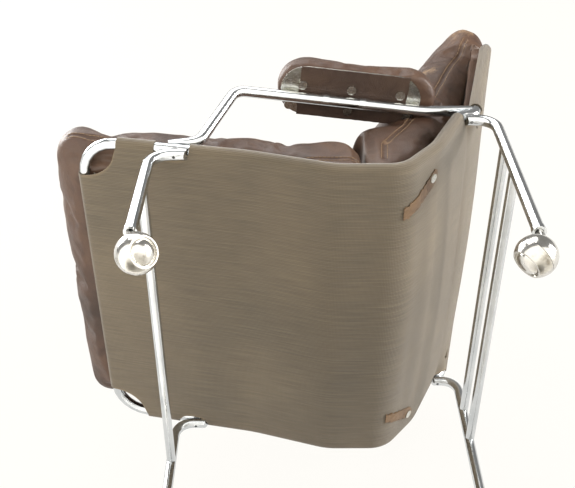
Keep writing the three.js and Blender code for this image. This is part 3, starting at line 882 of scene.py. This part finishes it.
class LOUNGE_OT_arms(bpy.types.Operator):
    """Arm pads and their flaps"""
    bl_idname = "lounge.arms"
    bl_label = "Arm pads"

    def execute(self, context):
        for side, word in ((1, "left"), (-1, "right")):
            turn = arm_frame(side)
            self.pad(turn, word)
            self.flap(turn, word)
        return {"FINISHED"}

    def pad(self, turn, word):
        """A stuffed pad with a flat underside."""
        ring = stadium_ring(-121, 141, 40, 55, 8.0)
        centre = sum(ring, Vector((0, 0))) / len(ring)
        layers = ((13.8, 6), (15.0, 1.5), (20.0, 0.0), (32.0, -1.5), (42.0, 2.0), (50.0, 9.0), (54.5, 20.0))
        verts, faces = [], []
        for height, inset in layers:
            for point in ring:
                spot = point + (centre - point).normalized() * inset
                verts.append(tuple(turn @ Vector((spot.x, spot.y, height))))
        count = len(ring)
        for c in range(len(layers) - 1):
            for i in range(count):
                j = (i + 1) % count
                faces.append((c * count + i, c * count + j, (c + 1) * count + j, (c + 1) * count + i))
        faces.append(tuple(range(count)))
        faces.append(tuple(range((len(layers) - 1) * count, len(layers) * count)))
        piece = mesh_object("arm_pad_leather_" + word, verts, faces, None)
        outward(piece)
        remeshed(piece, 0.004)
        swollen(piece, 5.0, 0.006)
        floor = turn @ Vector((0, 0, 13.6))
        up = (turn.to_3x3() @ Vector((0, 0, 1))).normalized()
        for vert in piece.data.vertices:
            deep = (vert.co * 1000 - floor).dot(up)
            if deep < 0:
                vert.co -= up * deep / 1000
        wrinkled(piece, 30.0, 0.0012, 3.0)
        finer = piece.modifiers.new("Finer", "SUBSURF")
        finer.levels = finer.render_levels = 1
        bake_modifiers(piece)
        mark_wear(piece, lambda spot: 0.35)
        piece.data.materials.append(finishes()["leather"])
        smooth(piece, 180)
        settle(piece, CHAIR, "brown_leather", "arm_pad_" + word)

    def flap(self, turn, word):
        """The leather turned under the plate, cut with uneven edges."""
        verts, faces = [], []
        count = 24
        rows = 40
        for r in range(rows + 1):
            y = -85 + 177 * r / rows
            for c in range(count + 1):
                share = c / count
                inner = 35 + 1.2 * noise.noise(Vector((y / 14, 0, 1)))
                outer = 50 + 1.2 * noise.noise(Vector((y / 14, 5, 1)))
                x = -inner + (inner + outer) * share
                edge = 1.5 * noise.noise(Vector((x / 12, r // 20, 8)))
                dip = -0.5 * abs(noise.noise(Vector((x / 18, y / 22, 2))))
                verts.append(tuple(turn @ Vector((x, y + (edge if r in (0, rows) else 0), 10.3 + dip))))
        for r in range(rows):
            for c in range(count):
                a = r * (count + 1) + c
                faces.append((a, a + 1, a + count + 2, a + count + 1))
        # Its finish is the leather darkened with painted shade
        piece = mesh_object("arm_flap_leather_" + word, verts, faces, finishes()["flap"])
        thick = piece.modifiers.new("Hide", "SOLIDIFY")
        thick.thickness = 0.0016
        thick.offset = 0.0
        bake_modifiers(piece)
        outward(piece)
        mark_wear(piece, lambda spot: 0.2)
        smooth(piece, 50)
        settle(piece, CHAIR, "brown_leather", "arm_flap_" + word)


class LOUNGE_OT_straps(bpy.types.Operator):
    """Frayed leather strap ends snapped under the sling"""
    bl_idname = "lounge.straps"
    bl_label = "Strap tabs"

    def execute(self, context):
        for side, word in ((1, "left"), (-1, "right")):
            self.tab(side, word, context.scene.chair_sizes.sag * 1000)
        return {"FINISHED"}

    def tab(self, side, word, sag):
        """A worn strap end that runs down and inward from its snap, its edges frayed."""
        line = even(bent(SIDE_LINE), 2.0)
        stud = min(range(len(line)), key=lambda i: (line[i] - Vector((210.5, 287))).length)
        verts, faces = [], []
        rows, count = 40, 16
        for r in range(rows + 1):
            part = r / rows
            i = max(1, round(stud + 6 - 36 * part))
            along = (line[i + 1] - line[i - 1]).normalized()
            normal = Vector((-along.y, along.x))
            for c in range(count + 1):
                share = 2 * c / count - 1
                fray = (1.5 + 5.5 * part ** 2) * noise.noise(Vector((r / 2.2, share * 4, side))) * abs(share)
                wide = (13.5 - 3.5 * part) * math.sqrt(1 - max(0.0, 1 - part * 7) ** 2 * 0.8)
                x = 256 - 40 * part + share * wide + fray
                curl = 0.9 * noise.noise(Vector((x / 9, part * 5, 4.0))) * part
                lift = -WRAP - hang(x, i / len(line), sag) - 2.1 - max(0.0, curl)
                spot = line[i] + normal * lift
                verts.append((side * x, spot.x, spot.y))
        for r in range(rows):
            for c in range(count):
                a = r * (count + 1) + c
                faces.append((a, a + 1, a + count + 2, a + count + 1))
        piece = mesh_object("strap_end_" + word, verts, faces, finishes()["strap"])
        thick = piece.modifiers.new("Hide", "SOLIDIFY")
        thick.thickness = 0.0016
        thick.offset = 0.0
        bake_modifiers(piece)
        outward(piece)
        mark_wear(piece, lambda spot: 0.55)
        smooth(piece, 50)
        settle(piece, CHAIR, "brown_leather", "strap_tab_" + word)


# ---------------------------------------------------------------- stage

def one_sided(name, colour, glow):
    """A pale matt surface that can't be seen from behind."""
    made = bpy.data.materials.new(name)
    made.use_nodes = True
    tree = made.node_tree
    shader = tree.nodes["Principled BSDF"]
    shader.inputs["Base Color"].default_value = (*(c * (1 - glow) for c in colour), 1.0)
    shader.inputs["Roughness"].default_value = 0.9
    shader.inputs["Emission Color"].default_value = (*colour, 1.0)
    shader.inputs["Emission Strength"].default_value = glow
    clear = put(tree, "ShaderNodeBsdfTransparent")
    back = put(tree, "ShaderNodeNewGeometry").outputs["Backfacing"]
    mixed = put(tree, "ShaderNodeMixShader", {0: back, 1: shader.outputs[0], 2: clear.outputs[0]})
    tree.links.new(mixed.outputs[0], tree.nodes["Material Output"].inputs["Surface"])
    return made


class LOUNGE_OT_stage(bpy.types.Operator):
    """Floor, backdrop, soft light and camera"""
    bl_idname = "lounge.stage"
    bl_label = "Stage"

    def execute(self, context):
        colour = tuple(context.scene.chair_looks.backdrop)
        big = 9000
        floor = mesh_object("floor", [(-big, -big, 0), (big, -big, 0), (big, big, 0), (-big, big, 0)],
                            [(0, 1, 2, 3)], one_sided("pale_floor", colour, 0.0))
        wall_x = CAD_BOX[0][0] * 1000 - 12
        wall = mesh_object("backdrop", [(wall_x, -big, -big), (wall_x, big, -big), (wall_x, big, big),
                                        (wall_x, -big, big)],
                           [(0, 1, 2, 3)], one_sided("pale_backdrop", colour, 1.0))
        for sheet in (floor, wall):
            sheet.visible_shadow = False
        for name, spot, aim, size, power in (
            ("key_back", (1.3, 3.3, 0.3), (0, 0.1, 0.35), 1.8, 210),
            ("fill_low", (2.0, -2.4, -2.2), (0, 0, 0.3), 2.6, 48),
            ("key_high", (0.9, -2.6, 2.6), (0, 0, 0.4), 2.2, 190),
            ("fill_high", (2.8, -0.6, 2.6), (0, 0, 0.4), 2.6, 90),
        ):
            lamp = bpy.data.lights.new(name, "AREA")
            lamp.size = size
            lamp.energy = power
            made = bpy.data.objects.new(name, lamp)
            context.scene.collection.objects.link(made)
            made.location = spot
            made.rotation_euler = (Vector(aim) - Vector(spot)).to_track_quat("-Z", "Y").to_euler()
        world = bpy.data.worlds.new("studio")
        world.use_nodes = True
        world.node_tree.nodes["Background"].inputs["Color"].default_value = (0.80, 0.79, 0.77, 1)
        world.node_tree.nodes["Background"].inputs["Strength"].default_value = 0.36
        context.scene.world = world
        context.scene.view_settings.view_transform = "Standard"
        self.camera(context)
        return {"FINISHED"}

    def camera(self, context):
        """Looks up at the underside from beside the seat, as when the chair lies on its right side."""
        pitch = math.radians(35.284)
        camera = bpy.data.cameras.new("camera")
        camera.sensor_width = 36.0
        camera.lens = 56.97
        made = bpy.data.objects.new("camera", camera)
        context.scene.collection.objects.link(made)
        right = Vector((0, 1, 0))
        up = Vector((math.cos(pitch), 0, math.sin(pitch)))
        turn = Matrix((right, up, right.cross(up))).transposed().to_4x4()
        turn.translation = Vector((0.9708, 0.0, -0.910))
        made.matrix_world = turn
        context.scene.camera = made


class LOUNGE_PT_panel(bpy.types.Panel):
    """Every step of the armchair"""
    bl_label = "Armchair"
    bl_idname = "LOUNGE_PT_panel"
    bl_space_type = "VIEW_3D"
    bl_region_type = "UI"
    bl_category = "Armchair"

    def draw(self, context):
        for step in STEPS:
            self.layout.operator(step.bl_idname)
        for group in (context.scene.chair_sizes, context.scene.chair_looks):
            for key in group.__annotations__:
                self.layout.prop(group, key)


STEPS = (LOUNGE_OT_stage, LOUNGE_OT_metalwork, LOUNGE_OT_sling,
         LOUNGE_OT_cushions, LOUNGE_OT_arms, LOUNGE_OT_straps)
CLASSES = (ChairSizes, ChairLooks) + STEPS + (LOUNGE_PT_panel,)


def register():
    for item in CLASSES:
        bpy.utils.register_class(item)
    bpy.types.Scene.chair_sizes = bpy.props.PointerProperty(type=ChairSizes)
    bpy.types.Scene.chair_looks = bpy.props.PointerProperty(type=ChairLooks)


def unregister():
    del bpy.types.Scene.chair_looks
    del bpy.types.Scene.chair_sizes
    for item in reversed(CLASSES):
        bpy.utils.unregister_class(item)


def main():
    register()
    bpy.ops.lounge.stage()
    bpy.ops.lounge.metalwork()
    bpy.ops.lounge.sling()
    bpy.ops.lounge.cushions()
    bpy.ops.lounge.arms()
    bpy.ops.lounge.straps()


if __name__ == "__main__":
    main()
